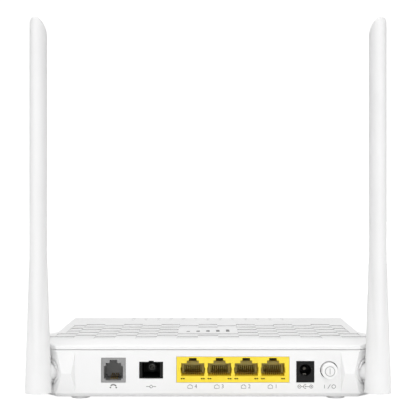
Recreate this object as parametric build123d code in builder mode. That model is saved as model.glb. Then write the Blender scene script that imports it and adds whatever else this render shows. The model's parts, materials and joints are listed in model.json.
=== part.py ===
from build123d import *
import math
import os

# Optical network terminal: a flat desktop box with two swivelling antennas.
# X is to the right seen from the connector side, the connector panel faces -Y, +Z is up,
# and the origin is under the middle of the whole object, on the table.

# ---------------------------------------------------------------- driving dimensions, mm
# housing plan; depths are counted from the connector panel towards the front
panel_half = 79.5  # half width of the connector panel, up to the 45 degree corners
corner_run = 11.9  # size of each 45 degree corner
ear_depth = 30.0  # where the wide rear part starts to draw in
neck_depth = 42.0  # where it has drawn in to the straight sides
side_draw = 6.4  # how far the straight sides stand inside the wide rear part
body_depth = 116.0
front_corner_radius = 4.0
wall = 2.0
foot_height = 1.2  # the housing floor stands this far above the table
floor_thickness = 2.0
body_top = 30.0
seam_height = 26.0  # middle of the gap between base and cover
seam_gap = 0.3
bottom_bevel = 2.2
front_lean = 5.3  # the front face leans back this far above its widest line
front_mid_height = 13.0  # the front face is furthest forward here
front_tuck = 2.0  # and draws back below it
crown_depth = 21.0  # the cover rises from its rear lip over this depth
crown_rise = 2.0
cover_thickness = 1.8
edge_round = 0.7  # on the cover's upper edges
tongue = 1.0  # the cover's tongue inside the base wall
tongue_drop = 2.2
fit_gap = 0.15  # clearance round what passes through the panel
press_fit = 0.02  # radial, round what is pressed in

# pillars beside the corners
pillar_width = 10.2
pillar_ridge = 3.0  # how far their ridge stands out
pillar_slant = 1.8
pillar_top = 25.0
pillar_bottom = 3.6
ridge_height = 14.0

# antenna seats in the corners
seat_recess = 0.4  # the corner face lies this far back
seat_top = 24.9
seat_bottom = 3.9
pivot_depth = 3.95  # pivot centre, behind the panel's plane
pivot_height = 14.2
ring_recess = 1.0
ring_gap = 1.0  # round the collar
boss_margin = 0.5  # the boss behind the ring is this much larger
collar_gap = 0.7  # between the spigot and the collar
collar_wall = 1.1
collar_rise = 0.35
collar_step = 1.0  # its mouth is this much lower, and the spigot's stop tab turns in it
collar_end = 160.0  # degrees from the outer side, where the collar's upper end stops the tab
swing_in = 40.0  # degrees an antenna turns inwards, and outwards
swing_out = 90.0
tab_sweep = 30.0
tab_play = 1.5  # degrees left at each stop
tab_inset = 0.4  # inside the collar's outer edge
tab_drop = 0.4  # below the seat's face
hinge_length = 4.0
spigot_radius = 4.6
spigot_fit = 0.05  # radial
spigot_bore = 1.5
spigot_tail = 2.4
clip_thickness = 0.9
clip_play = 0.15
clip_slack = 0.1  # its groove is this much wider
clip_reach = 1.6  # how far the clip stands out of the spigot
clip_bite = 0.8  # the depth of its groove
clip_fit = 0.03  # radial
clip_mouth = 3.0

# antennas
antenna_radius = 6.95  # at the bottom
swing_gap = 0.75
antenna_bottom = 4.1
antenna_top = 199.7  # before the tip's edge is rounded
cone_top = 80.0  # where the cone is as narrow as the blade
blade_half_width = 4.4
blade_half_depth = 6.6
tip_round = 0.8
part_round = 0.8  # upright edges of the small moulded and stamped parts
tip_lean_front = 0.63  # the tip's slanted cut faces up, to the front and inwards
tip_lean_in = 0.29
antenna_wall = 1.3
cap_thickness = 1.6
cap_recess = 0.2
cap_clearance = 0.1
radiator_bottom = 46.0
radiator_width = 7.0
radiator_length = 112.0
radiator_thickness = 0.8
lead_diameter = 1.4
lead_bend = 5.0
lead_play = 0.4  # between the turning lead and the fixed one

# circuit board
board_top = 9.0
board_thickness = 1.6
board_side_gap = 16.0  # from its edge to the straight side
board_rear = 2.6
board_front_gap = 10.0

# connectors, placed by the gaps between their faces
lan_right = 42.4  # the network port block's outer side, from the middle of the panel
lan_side_wall = 2.045
lan_pon_gap = 7.2
pon_tel_gap = 7.3
lan_dc_gap = 3.8
dc_button_gap = 3.15
lan_top = 22.3
lan_depth = 21.0
port_count = 4
port_pitch = 13.97
port_width = 12.1
port_bottom = 12.2
port_top = 19.0
port_ear_width = 12.8
port_ear_bottom = 13.8
port_ear_top = 16.8
port_step_width = 6.3
port_step_top = 20.4
port_notch_width = 4.0
port_notch_top = 21.7
port_depth = 13.0
port_lamp_height = 10.9
port_lamp_width = 0.85
port_lamp_tall = 0.75
port_lamp_pitch = 1.1  # the lamps stand in pairs, one pair at each lower corner
port_lamp_inset = 0.8  # from the port's side to the middle of a pair
port_lamp_recess = 1.2
contact_width = 0.5
contact_pitch = 1.02
contact_count = 8
contact_thickness = 0.35
contact_lift = 0.2
contact_front = 4.0
contact_rise = 3.6
tel_width = 12.6
tel_top = 21.7
tel_depth = 18.0
tel_port_width = 10.0
tel_port_bottom = 10.9
tel_port_top = 17.5
tel_step_width = 8.1
tel_step_top = 19.1
tel_step_bottom = 10.0
tel_notch_width = 4.0
tel_notch_top = 20.7
tel_contact_count = 4
tel_contact_rise = 1.4
pon_width = 12.2
pon_bottom = 11.1
pon_top = 19.6
pon_key_width = 2.4
pon_key_rise = 0.5
pon_depth = 24.0
pon_bore_width = 9.4
pon_bore_height = 7.6
pon_bore_depth = 16.0
module_length = 20.0
module_height = 10.4
sleeve_outer = 1.7
sleeve_bore = 1.26
sleeve_front = 9.5
sleeve_inset = 0.5
sleeve_holder = 2.4  # the moulded tube round the sleeve
sleeve_edge = 0.15
dc_width = 9.2
dc_top = 20.0
dc_depth = 14.4
dc_axis = 15.4
dc_bore = 3.1
dc_pin = 1.05
dc_pin_tip = 5.0
dc_bore_depth = 11.0
button_axis = 15.35
button_radius = 4.2
button_clearance = 0.45
button_edge = 0.5
button_reach = 4.3
button_travel = 2.0
mark_outer = 2.7  # engraved ring on the button
mark_inner = 2.25
mark_bar_width = 0.5
mark_bar_height = 3.1
mark_depth = 0.3
cap_skirt = 6.5  # the button's length inside the panel
cap_socket = 4.0
plunger_size = 4.0
plunger_press = 0.02
plunger_fit = 0.08
plunger_reach = 8.0
pocket_spare = 1.0
switch_front = 9.0
switch_width = 9.0
switch_depth = 13.0

# status lights near the front edge
light_count = 13
light_pitch = 7.8
light_inset = 16.0  # from the front
light_radius = 0.8

# brick pattern on the cover: each brick dips towards the front and ends at a small riser
brick_width = 11.2
brick_pitch = 12.2
brick_dip = 0.45
brick_first = 22.3  # depth of the first riser
brick_rows = 5
brick_edge = 5.4  # from the housing's sides
pad_rows = (2, 4)  # the blank pad takes this span of rows of the columns beside the middle one

# fastening
post_inset = 6.5  # from the straight side
post_rear = 24.0
post_front_inset = 15.0
post_radius = 3.8
post_split = 14.0
post_root = 0.5  # how far a post or a standoff runs into what carries it
standoff_inset = 5.0  # from the board's edge
standoff_rear = 34.0
standoff_front_inset = 10.0
standoff_radius = 2.75
screw_radius = 1.4
screw_length = 16.0
screw_head = 2.7
screw_head_height = 1.8
screw_well = 0.4  # clearance round the head
screw_pass = 0.3  # clearance in the base's own post
screw_bite = 0.02  # clearance in what the screw holds
board_screw = 1.1
board_screw_length = 5.0
board_screw_head = 2.3
board_screw_head_height = 1.4
board_screw_pass = 0.2
slot_share = 1.4  # a drive slot's length over the head's radius
slot_width = 0.6
slot_depth = 0.7
foot_radius = 5.0
foot_side_inset = 17.6
foot_inset = 7.6
foot_recess = 0.8
foot_edge = 0.4

# vents in the floor
vent_width = 2.2
vent_length = 36.0
vent_pitch = 8.0
vent_count = 9

# ---------------------------------------------------------------- derived places
ear_half = panel_half + corner_run
side_half = ear_half - side_draw
pillar_half = panel_half - pillar_width
front_top_depth = body_depth - front_lean
collar_inner = spigot_radius + collar_gap
collar_outer = collar_inner + collar_wall
ring_radius = collar_outer + ring_gap
hinge_boss_radius = ring_radius + boss_margin
tab_outer = collar_outer - tab_inset
clip_groove = spigot_radius - clip_bite
clip_outer = spigot_radius + clip_reach
antenna_axis_gap = antenna_radius + swing_gap
diagonal = math.sqrt(0.5)
pivot_x = panel_half - seat_recess / diagonal + pivot_depth
axis_x = pivot_x + antenna_axis_gap * diagonal
axis_depth = pivot_depth - antenna_axis_gap * diagonal
rear_y = -(body_depth + axis_depth - antenna_radius) / 2
axis_y = rear_y + axis_depth
front_y = rear_y + body_depth
floor_top = foot_height + floor_thickness
base_top = seam_height - seam_gap / 2
cover_bottom = seam_height + seam_gap / 2
ceiling = body_top - cover_thickness
board_bottom = board_top - board_thickness
board_half = side_half - board_side_gap
board_front = body_depth - board_front_gap
light_depth = body_depth - light_inset
brick_columns = math.ceil((side_half - brick_edge - brick_width / 2) / brick_width)  # on each side
button_hole = button_radius + button_clearance
lan_width = (port_count - 1) * port_pitch + port_ear_width + 2 * lan_side_wall
lan_x = lan_right - lan_width / 2
pon_x = lan_right - lan_width - lan_pon_gap - pon_width / 2
tel_x = pon_x - pon_width / 2 - pon_tel_gap - tel_width / 2
dc_x = lan_right + lan_dc_gap + dc_width / 2
button_x = dc_x + dc_width / 2 + dc_button_gap + button_hole
mouth_sweep = swing_in + swing_out + tab_sweep + 2 * tab_play
tab_start = collar_end + tab_play + swing_out  # the tab hangs nearly straight down at rest

rear_plane = Plane.XZ.offset(-rear_y)  # local x is X, local y is Z, pointing out of the panel
pivot_plane = Plane(origin=(pivot_x, rear_y + pivot_depth, pivot_height),
                    x_dir=(diagonal, diagonal, 0), z_dir=(diagonal, -diagonal, 0))
post_places = [(side * (side_half - post_inset), y) for side in (-1, 1)
               for y in (rear_y + post_rear, front_y - post_front_inset)]
standoff_places = [(side * (board_half - standoff_inset), y) for side in (-1, 1)
                   for y in (rear_y + standoff_rear, rear_y + board_front - standoff_front_inset)]
foot_places = [(side * (side_half - foot_side_inset), y) for side in (-1, 1)
               for y in (rear_y + foot_inset, front_y - foot_inset)]
port_places = [lan_x + (index - (port_count - 1) / 2) * port_pitch for index in range(port_count)]
light_places = [(index - (light_count - 1) / 2) * light_pitch for index in range(light_count)]

os.makedirs("parts", exist_ok=True)


def save(piece, name):
    piece.label = name
    export_step(piece, f"parts/{name}.step")


def mirrored(piece):
    with BuildPart() as twin:
        mirror(piece, about=Plane.YZ)
    return twin.part


def block(width, depth, height, x, y, z, mode=Mode.ADD):
    # a box given by the middle of its underside
    with Locations((x, y, z)):
        Box(width, depth, height, align=(Align.CENTER, Align.CENTER, Align.MIN), mode=mode)


def peg(radius, height, x, y, z, mode=Mode.ADD):
    # an upright cylinder given by the middle of its underside
    with Locations((x, y, z)):
        Cylinder(radius, height, align=(Align.CENTER, Align.CENTER, Align.MIN), mode=mode)


def side_profile(inset, drop):
    # the housing from its side: rear lip, crown, flat top and a front that leans both ways
    top = body_top - drop
    with BuildSketch(Plane.YZ) as profile:
        with BuildLine():
            Polyline((rear_y + crown_depth, top), (rear_y + front_top_depth - inset, top),
                     (front_y - inset, front_mid_height), (front_y - front_tuck - inset, foot_height),
                     (rear_y, foot_height), (rear_y, top - crown_rise))
            TangentArc((rear_y + crown_depth, top), (rear_y, top - crown_rise), tangent=(-1, 0))
        make_face()
    return profile.sketch


def housing_body(inset, drop, bottom, top, bevel=0):
    # the housing's outside between two heights, drawn in by an even inset
    with BuildPart() as body:
        with BuildSketch(Plane.XY.offset(bottom)):
            add(housing_plan(inset))
        extrude(amount=top - bottom)
        if bevel:
            chamfer(body.faces().sort_by(Axis.Z)[0].edges(), bevel)
        extrude(side_profile(inset, drop), amount=ear_half, both=True, mode=Mode.INTERSECT)
    return body.part


def housing_plan(inset):
    # outline of the housing from above, drawn in by an even inset
    right = [(panel_half, 0), (ear_half, corner_run), (ear_half, ear_depth),
             (side_half, neck_depth), (side_half, body_depth)]
    left = [(-x, depth) for x, depth in reversed(right)]
    with BuildSketch() as plan:
        with BuildLine():
            Polyline([(x, rear_y + depth) for x, depth in right + left], close=True)
        make_face()
        fillet(plan.vertices().group_by(Axis.Y)[-1], front_corner_radius)
        if inset:
            offset(amount=-inset, kind=Kind.INTERSECTION)
    return plan.sketch


def half_width(depth):
    # half the housing's width at a depth behind the ears' chamfers
    share = min(max((depth - ear_depth) / (neck_depth - ear_depth), 0), 1)
    return ear_half + share * (side_half - ear_half)


def pie(start, sweep):
    # a wedge on the swivel's plane, from a start angle over a sweep of less than 180 degrees
    angles = [math.radians(start + share * sweep) for share in (0, 0.5, 1)]
    rim = [(2 * ring_radius * math.cos(angle), 2 * ring_radius * math.sin(angle)) for angle in angles]
    with BuildSketch() as wedge:
        with BuildLine():
            Polyline([(0, 0)] + rim, close=True)
        make_face()
    return wedge.sketch


def panel_rectangles(*faces):
    # stepped opening on the connector panel: (centre x, width, bottom, top) of each rectangle
    with BuildSketch(rear_plane) as outline:
        for x, width, bottom, top in faces:
            with Locations((x, (bottom + top) / 2)):
                Rectangle(width, top - bottom)
    return outline.sketch


# ---------------------------------------------------------------- pillar beside a corner
with BuildPart() as pillar:
    with BuildSketch(Plane.XY.offset(pillar_bottom)):
        with BuildLine():
            Polyline([(pillar_half, rear_y), (pillar_half + pillar_slant, rear_y - pillar_ridge),
                      (panel_half - pillar_ridge, rear_y - pillar_ridge), (panel_half, rear_y),
                      (panel_half - wall / 2, rear_y + wall / 2), (pillar_half, rear_y + wall / 2)],
                     close=True)
        make_face()
    extrude(amount=pillar_top - pillar_bottom)
    with BuildSketch(Plane.YZ):
        with BuildLine():
            Polyline([(rear_y, pillar_bottom), (rear_y - pillar_ridge, ridge_height), (rear_y, pillar_top),
                      (rear_y + wall / 2, pillar_top), (rear_y + wall / 2, pillar_bottom)], close=True)
        make_face()
    extrude(amount=ear_half, mode=Mode.INTERSECT)

# ---------------------------------------------------------------- antenna seat in a corner
with BuildPart() as seat_cut:
    seat_height = seat_top - seat_bottom
    with BuildSketch(pivot_plane):
        with Locations((0, (seat_top + seat_bottom) / 2 - pivot_height)):
            Rectangle(4 * corner_run, seat_height)
    extrude(amount=pillar_ridge + wall)
    with BuildSketch(pivot_plane):
        Circle(ring_radius)
    extrude(amount=-ring_recess)

with BuildPart() as seat_boss:
    with BuildSketch(pivot_plane.offset(-ring_recess)):
        Circle(hinge_boss_radius)
    extrude(amount=ring_recess - hinge_length)
    with BuildSketch(pivot_plane.offset(-ring_recess)):
        Circle(collar_outer)
        Circle(collar_inner, mode=Mode.SUBTRACT)
    extrude(amount=ring_recess + collar_rise - collar_step)
    with BuildSketch(pivot_plane.offset(collar_rise - collar_step)):
        Circle(collar_outer)
        Circle(collar_inner, mode=Mode.SUBTRACT)
        add(pie(collar_end, mouth_sweep), mode=Mode.SUBTRACT)
    extrude(amount=collar_step)

with BuildPart() as seat_bore:
    with BuildSketch(pivot_plane):
        Circle(spigot_radius + spigot_fit)
    extrude(amount=-2 * hinge_length)

# ---------------------------------------------------------------- base shell
with BuildPart() as base_shell:
    add(housing_body(0, 0, foot_height, base_top, bottom_bevel))
    add(pillar.part)
    mirror(pillar.part, about=Plane.YZ)
    add(housing_body(wall, 0, floor_top, base_top), mode=Mode.SUBTRACT)
    for solid, mode in ((seat_cut.part, Mode.SUBTRACT), (seat_boss.part, Mode.ADD),
                        (seat_bore.part, Mode.SUBTRACT)):
        add(solid, mode=mode)
        mirror(solid, about=Plane.YZ, mode=mode)
    # openings in the connector panel
    extrude(panel_rectangles(
        (lan_x, lan_width + 2 * fit_gap, board_top - fit_gap, lan_top + fit_gap),
        (tel_x, tel_width + 2 * fit_gap, board_top - fit_gap, tel_top + fit_gap),
        (pon_x, pon_width + 2 * fit_gap, pon_bottom - fit_gap, pon_top + fit_gap),
        (pon_x, pon_key_width + 2 * fit_gap, pon_top, pon_top + pon_key_rise + fit_gap),
        (dc_x, dc_width + 2 * fit_gap, board_top - fit_gap, dc_top + fit_gap),
    ), amount=-1.5 * wall, mode=Mode.SUBTRACT)
    with BuildSketch(rear_plane):
        with Locations((button_x, button_axis)):
            Circle(button_hole)
    extrude(amount=-1.5 * wall, mode=Mode.SUBTRACT)
    # screw posts, board standoffs, foot recesses and vents in the floor
    for x, y in post_places:
        peg(post_radius, post_split - foot_height, x, y, foot_height)
        peg(screw_head + screw_well, post_split / 2 - foot_height, x, y, foot_height, Mode.SUBTRACT)
        peg(screw_radius + screw_pass, post_split, x, y, foot_height, Mode.SUBTRACT)
    for x, y in standoff_places:
        peg(standoff_radius, board_bottom - floor_top + post_root, x, y, floor_top - post_root)
        peg(board_screw + screw_bite, board_bottom, x, y, floor_top, Mode.SUBTRACT)
    for x, y in foot_places:
        peg(foot_radius + fit_gap, foot_recess, x, y, foot_height, Mode.SUBTRACT)
    with BuildSketch(Plane.XY.offset(foot_height)):
        with GridLocations(vent_pitch, 0, vent_count, 1):
            SlotOverall(vent_length, vent_width, rotation=90)
    extrude(amount=2 * floor_thickness, mode=Mode.SUBTRACT)
save(base_shell.part, "base_shell")

# ---------------------------------------------------------------- top cover
with BuildPart() as top_cover:
    add(housing_body(0, 0, cover_bottom, body_top))
    fillet(top_cover.edges().filter_by(lambda edge: edge.center().Z > body_top - crown_rise - edge_round),
           edge_round)
    tongue_bottom = base_top - tongue_drop
    add(housing_body(wall + fit_gap, 0, tongue_bottom, cover_bottom + tongue))
    add(housing_body(wall + fit_gap + tongue, cover_thickness, tongue_bottom, ceiling), mode=Mode.SUBTRACT)
    for x, y in post_places:
        peg(post_radius, ceiling - post_split + post_root, x, y, post_split)
        peg(screw_radius + screw_bite, ceiling - post_split - wall, x, y, post_split, Mode.SUBTRACT)
    # holes for the status lights
    for x in light_places:
        peg(light_radius + fit_gap / 2, 2 * cover_thickness, x, rear_y + light_depth,
            ceiling - cover_thickness / 2, Mode.SUBTRACT)
    # bricks; every other column is shifted by half a pitch, and the middle leaves a blank pad
    pad_start, pad_end = (brick_first + (row - 1) * brick_pitch for row in pad_rows)
    for column in range(-brick_columns, brick_columns + 1):
        shift = brick_pitch / 2 if column % 2 == 0 else 0
        risers = [brick_first + shift + row * brick_pitch for row in range(brick_rows)]
        spans = [(riser - brick_pitch, riser) for riser in risers]
        if abs(column) <= 1:
            spans = [span for span in spans if span[1] <= pad_start or span[0] >= pad_end]
            if column == 0:
                spans += [(pad_start - shift, pad_start), (pad_end, pad_end + shift)]
        for start, end in spans:
            # the outermost column reaches out to the housing's side
            outer = half_width(end) - brick_edge
            low, high = (column - 0.5) * brick_width, (column + 0.5) * brick_width
            if abs(column) == brick_columns:
                low, high = (-outer, high) if column < 0 else (low, outer)
            with BuildSketch(Plane.YZ.offset(low)):
                with BuildLine():
                    Polyline((rear_y + start, body_top), (rear_y + end, body_top),
                             (rear_y + end, body_top - brick_dip), close=True)
                make_face()
            extrude(amount=high - low, mode=Mode.SUBTRACT)
save(top_cover.part, "top_cover")

# ---------------------------------------------------------------- circuit board and its fasteners
with BuildPart() as main_board:
    block(2 * board_half, board_front - board_rear, board_thickness,
          0, rear_y + (board_front + board_rear) / 2, board_bottom)
    for x, y in standoff_places:
        peg(board_screw + board_screw_pass, 2 * board_thickness, x, y,
            board_bottom - board_thickness / 2, Mode.SUBTRACT)
save(main_board.part, "main_board")



def cross_slot(head, x, y, bottom):
    for length, width in ((slot_share * head, slot_width), (slot_width, slot_share * head)):
        block(length, width, slot_depth, x, y, bottom, Mode.SUBTRACT)


with BuildPart() as board_screws:
    for x, y in standoff_places:
        peg(board_screw_head, board_screw_head_height, x, y, board_top)
        peg(board_screw, board_screw_length, x, y, board_top - board_screw_length)
        cross_slot(board_screw_head, x, y, board_top + board_screw_head_height - slot_depth)
save(board_screws.part, "board_screws")

with BuildPart() as housing_screws:
    head_top = post_split / 2
    for x, y in post_places:
        peg(screw_head, screw_head_height, x, y, head_top - screw_head_height)
        peg(screw_radius, screw_length, x, y, head_top)
        cross_slot(screw_head, x, y, head_top - screw_head_height)
save(housing_screws.part, "housing_screws")

with BuildPart() as rubber_feet:
    for x, y in foot_places:
        peg(foot_radius, foot_height + foot_recess, x, y, 0)
    fillet(rubber_feet.edges().group_by(Axis.Z)[0], foot_edge)
save(rubber_feet.part, "rubber_feet")


def spring_contacts(centre, count, floor, rise):
    # a row of springy strips in the part being built, rising from a socket's floor to its rear wall
    low, high = floor + contact_lift, floor + rise
    for index in range(count):
        x = centre + (index - (count - 1) / 2) * contact_pitch
        with BuildSketch(Plane.YZ.offset(x - contact_width / 2)) as side:
            with BuildLine():
                Polyline((rear_y + contact_front, low), (rear_y + port_depth, high),
                         (rear_y + port_depth, high + contact_thickness),
                         (rear_y + contact_front, low + contact_thickness), close=True)
            make_face()
        extrude(side.sketch, amount=contact_width)


# ---------------------------------------------------------------- four network ports in one block
lamp_places = [x + side * (port_width / 2 - port_lamp_inset) + shift * port_lamp_pitch
               for x in port_places for side in (-1, 1) for shift in (-0.5, 0.5)]
lamp_low = port_lamp_height - port_lamp_tall / 2
lamp_length = port_depth - port_lamp_recess

with BuildPart() as lan_jack_block:
    block(lan_width, lan_depth, lan_top - board_top, lan_x, rear_y + lan_depth / 2, board_top)
    for x in port_places:
        extrude(panel_rectangles(
            (x, port_width, port_bottom, port_top),
            (x, port_ear_width, port_ear_bottom, port_ear_top),
            (x, port_step_width, port_top, port_step_top),
            (x, port_notch_width, port_step_top, port_notch_top),
        ), amount=-port_depth, mode=Mode.SUBTRACT)
    extrude(panel_rectangles(*[(x, port_lamp_width, lamp_low, lamp_low + port_lamp_tall)
                               for x in lamp_places]), amount=-port_depth, mode=Mode.SUBTRACT)
save(lan_jack_block.part, "lan_jack_block")

with BuildPart() as port_lamps:
    for x in lamp_places:
        block(port_lamp_width, lamp_length, port_lamp_tall, x,
              rear_y + port_lamp_recess + lamp_length / 2, lamp_low)
save(port_lamps.part, "port_lamps")

with BuildPart() as lan_contacts:
    for x in port_places:
        spring_contacts(x, contact_count, port_bottom, contact_rise)
save(lan_contacts.part, "lan_contacts")

# ---------------------------------------------------------------- telephone jack
with BuildPart() as tel_jack_housing:
    block(tel_width, tel_depth, tel_top - board_top, tel_x, rear_y + tel_depth / 2, board_top)
    extrude(panel_rectangles(
        (tel_x, tel_port_width, tel_port_bottom, tel_port_top),
        (tel_x, tel_step_width, tel_step_bottom, tel_step_top),
        (tel_x, tel_notch_width, tel_step_top, tel_notch_top),
    ), amount=-port_depth, mode=Mode.SUBTRACT)
save(tel_jack_housing.part, "tel_jack_housing")

with BuildPart() as tel_contacts:
    spring_contacts(tel_x, tel_contact_count, tel_step_bottom, tel_contact_rise)
save(tel_contacts.part, "tel_contacts")

# ---------------------------------------------------------------- optical fibre receptacle and module
pon_axis = (pon_bottom + pon_top) / 2
pon_overlap = 0.5  # how far the key and the foot run into the body
key_wall = 0.3

with BuildPart() as pon_receptacle:
    block(pon_width, pon_depth, pon_top - pon_bottom, pon_x, rear_y + pon_depth / 2, pon_bottom)
    block(pon_key_width, pon_depth, pon_key_rise + pon_overlap, pon_x,
          rear_y + pon_depth / 2, pon_top - pon_overlap)
    block(pon_width, pon_depth - 2 * wall, pon_bottom - board_top + pon_overlap, pon_x,
          rear_y + wall + pon_depth / 2, board_top)
    extrude(panel_rectangles(
        (pon_x, pon_bore_width, pon_axis - pon_bore_height / 2, pon_axis + pon_bore_height / 2),
        (pon_x, pon_key_width - 2 * key_wall, pon_axis, pon_top + pon_key_rise - key_wall),
    ), amount=-pon_bore_depth, mode=Mode.SUBTRACT)
    with BuildSketch(rear_plane.offset(-sleeve_front)):
        with Locations((pon_x, pon_axis)):
            Circle(sleeve_holder)
    extrude(amount=sleeve_front - pon_bore_depth)
    with BuildSketch(rear_plane):
        with Locations((pon_x, pon_axis)):
            Circle(sleeve_outer + press_fit)
    extrude(amount=-pon_depth, mode=Mode.SUBTRACT)
save(pon_receptacle.part, "pon_receptacle")

with BuildPart() as pon_sleeve:
    with BuildSketch(rear_plane.offset(-sleeve_front - sleeve_inset)):
        with Locations((pon_x, pon_axis)):
            Circle(sleeve_outer)
            Circle(sleeve_bore, mode=Mode.SUBTRACT)
    extrude(amount=sleeve_front + sleeve_inset - pon_depth)
    chamfer(pon_sleeve.edges().group_by(Axis.Y)[0], sleeve_edge)
save(pon_sleeve.part, "pon_sleeve")

with BuildPart() as optical_module:
    block(pon_width, module_length, module_height, pon_x, rear_y + pon_depth + module_length / 2, board_top)
    fillet(optical_module.edges().filter_by(Axis.Z), part_round)
save(optical_module.part, "optical_module")

# ---------------------------------------------------------------- power inlet
with BuildPart() as dc_jack_body:
    block(dc_width, dc_depth, dc_top - board_top, dc_x, rear_y + dc_depth / 2, board_top)
    with BuildSketch(rear_plane):
        with Locations((dc_x, dc_axis)):
            Circle(dc_bore)
    extrude(amount=-dc_bore_depth, mode=Mode.SUBTRACT)
    with BuildSketch(rear_plane.offset(-dc_bore_depth)):
        with Locations((dc_x, dc_axis)):
            Circle(dc_pin + press_fit)
    extrude(amount=-dc_depth, mode=Mode.SUBTRACT)
save(dc_jack_body.part, "dc_jack_body")

with BuildPart() as dc_jack_pin:
    with BuildSketch(rear_plane.offset(-dc_pin_tip)):
        with Locations((dc_x, dc_axis)):
            Circle(dc_pin)
    extrude(amount=dc_pin_tip - dc_depth)
    fillet(dc_jack_pin.edges().group_by(Axis.Y)[0], dc_pin / 2)
save(dc_jack_pin.part, "dc_jack_pin")

dc_spring_width = 1.6
dc_spring_front = 4.45
dc_spring_length = 6.5
dc_spring_lift = 0.15
with BuildPart() as dc_jack_spring:
    block(dc_spring_width, dc_spring_length, contact_thickness, dc_x,
          rear_y + dc_spring_front + dc_spring_length / 2, dc_axis - dc_bore + dc_spring_lift)
save(dc_jack_spring.part, "dc_jack_spring")

# ---------------------------------------------------------------- power switch and its button
cap_length = button_reach + cap_skirt
plunger_front = cap_length - button_reach - cap_socket
switch_rise = 2 * (button_axis - board_top)

with BuildPart() as power_button_cap:
    with BuildSketch(rear_plane.offset(button_reach)):
        with Locations((button_x, button_axis)):
            Circle(button_radius)
    extrude(amount=-cap_length)
    fillet(power_button_cap.edges().group_by(Axis.Y)[0], button_edge)
    # engraved ring with an upright bar
    with BuildSketch(rear_plane.offset(button_reach)):
        with Locations((button_x, button_axis)):
            Circle(mark_outer)
            Circle(mark_inner, mode=Mode.SUBTRACT)
            Rectangle(mark_bar_width, mark_bar_height)
    extrude(amount=-mark_depth, mode=Mode.SUBTRACT)
    with BuildSketch(rear_plane.offset(-plunger_front)):
        with Locations((button_x, button_axis)):
            Rectangle(plunger_size + 2 * plunger_press, plunger_size + 2 * plunger_press)
    extrude(amount=-cap_socket, mode=Mode.SUBTRACT)
save(power_button_cap.part, "power_button_cap")

plunger_length = switch_front + plunger_reach - plunger_front
with BuildPart() as power_switch_plunger:
    block(plunger_size, plunger_length, plunger_size, button_x, rear_y + plunger_front + plunger_length / 2,
          button_axis - plunger_size / 2)
save(power_switch_plunger.part, "power_switch_plunger")

pocket_length = plunger_reach + button_travel + pocket_spare
with BuildPart() as power_switch_body:
    block(switch_width, switch_depth, switch_rise, button_x,
          rear_y + switch_front + switch_depth / 2, board_top)
    block(plunger_size + 2 * plunger_fit, pocket_length, plunger_size + 2 * plunger_fit, button_x,
          rear_y + switch_front + pocket_length / 2, button_axis - plunger_size / 2 - plunger_fit,
          Mode.SUBTRACT)
save(power_switch_body.part, "power_switch_body")

# ---------------------------------------------------------------- chips and parts on the board
# each part is its width, depth and height, then its centre's x and depth behind the panel
chip_x = -2.0
chip_depth = 62.0
chip_size = 19.0
chip_height = 1.2
pad_size = 17.0
pad_height = 0.6
sink_size = 36.0
sink_fins = 9
sink_height = 9.0
sink_plate = 2.0
fin_thickness = 1.2
memory_size = (9.0, 13.0, 1.0)
memory_place = (chip_x + 27.0, chip_depth - 6.0)
flash_size = (8.0, 6.0, 0.9)
flash_place = (chip_x + 27.0, chip_depth + 10.0)
shield_size = (26.0, 24.0, 2.6)
shield_place = (chip_x + 50.0, chip_depth + 6.0)
transformer_size = (17.0, 13.0, 6.2)
transformer_depth = lan_depth + 11.0
line_chip_size = (8.0, 8.0, 0.9)
line_chip_depth = tel_depth + 8.5
capacitor_radius = 4.0
capacitor_height = 11.0
capacitor_depths = (dc_depth + 5.6, dc_depth + 16.6)
inductor_size = (7.0, 7.0, 4.0)
inductor_places = ((button_x - 3.2, switch_front + switch_depth + 5.0), (dc_x - 9.3, dc_depth + 31.6))
crystal_size = (5.0, 3.2, 1.1)
crystal_place = (chip_x - 24.0, chip_depth)
small_size = (2.0, 1.25, 0.9)
small_pitch = 6.5
small_fields = (((-47.0, 58.5), (4, 4)), ((27.5, 87.0), (4, 2)))  # centre, and count each way
led_size = (1.6, 0.9, 0.7)
light_bar_bottom = 18.0
light_bar_depth = 3.0
light_bar_height = 2.4
light_bar_end = 4.0
light_inlet_radius = 1.2
light_inlet_lift = 1.0
light_tip_drop = 0.1


def on_board(size, place, lift=0):
    block(*size, place[0], rear_y + place[1], board_top + lift)


with BuildPart() as main_processor:
    on_board((chip_size, chip_size, chip_height), (chip_x, chip_depth))
save(main_processor.part, "main_processor")

with BuildPart() as thermal_pad:
    on_board((pad_size, pad_size, pad_height), (chip_x, chip_depth), chip_height)
save(thermal_pad.part, "thermal_pad")

with BuildPart() as heat_sink:
    sink_lift = chip_height + pad_height
    on_board((sink_size, sink_size, sink_plate), (chip_x, chip_depth), sink_lift)
    fin_pitch = (sink_size - fin_thickness) / (sink_fins - 1)
    for index in range(sink_fins):
        fin_x = chip_x + (index - (sink_fins - 1) / 2) * fin_pitch
        on_board((fin_thickness, sink_size, sink_height), (fin_x, chip_depth), sink_lift)
save(heat_sink.part, "heat_sink")

with BuildPart() as memory_chips:
    on_board(memory_size, memory_place)
    on_board(flash_size, flash_place)
save(memory_chips.part, "memory_chips")

with BuildPart() as shield_can:
    on_board(shield_size, shield_place)
    fillet(shield_can.edges().filter_by(Axis.Z), part_round)
save(shield_can.part, "shield_can")

with BuildPart() as lan_transformers:
    for side in (-1, 1):
        on_board(transformer_size, (lan_x + side * port_pitch, transformer_depth))
save(lan_transformers.part, "lan_transformers")

with BuildPart() as line_chip:
    on_board(line_chip_size, (tel_x, line_chip_depth))
save(line_chip.part, "line_chip")

with BuildPart() as electrolytic_capacitors:
    for depth in capacitor_depths:
        peg(capacitor_radius, capacitor_height, dc_x, rear_y + depth, board_top)
save(electrolytic_capacitors.part, "electrolytic_capacitors")

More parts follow.
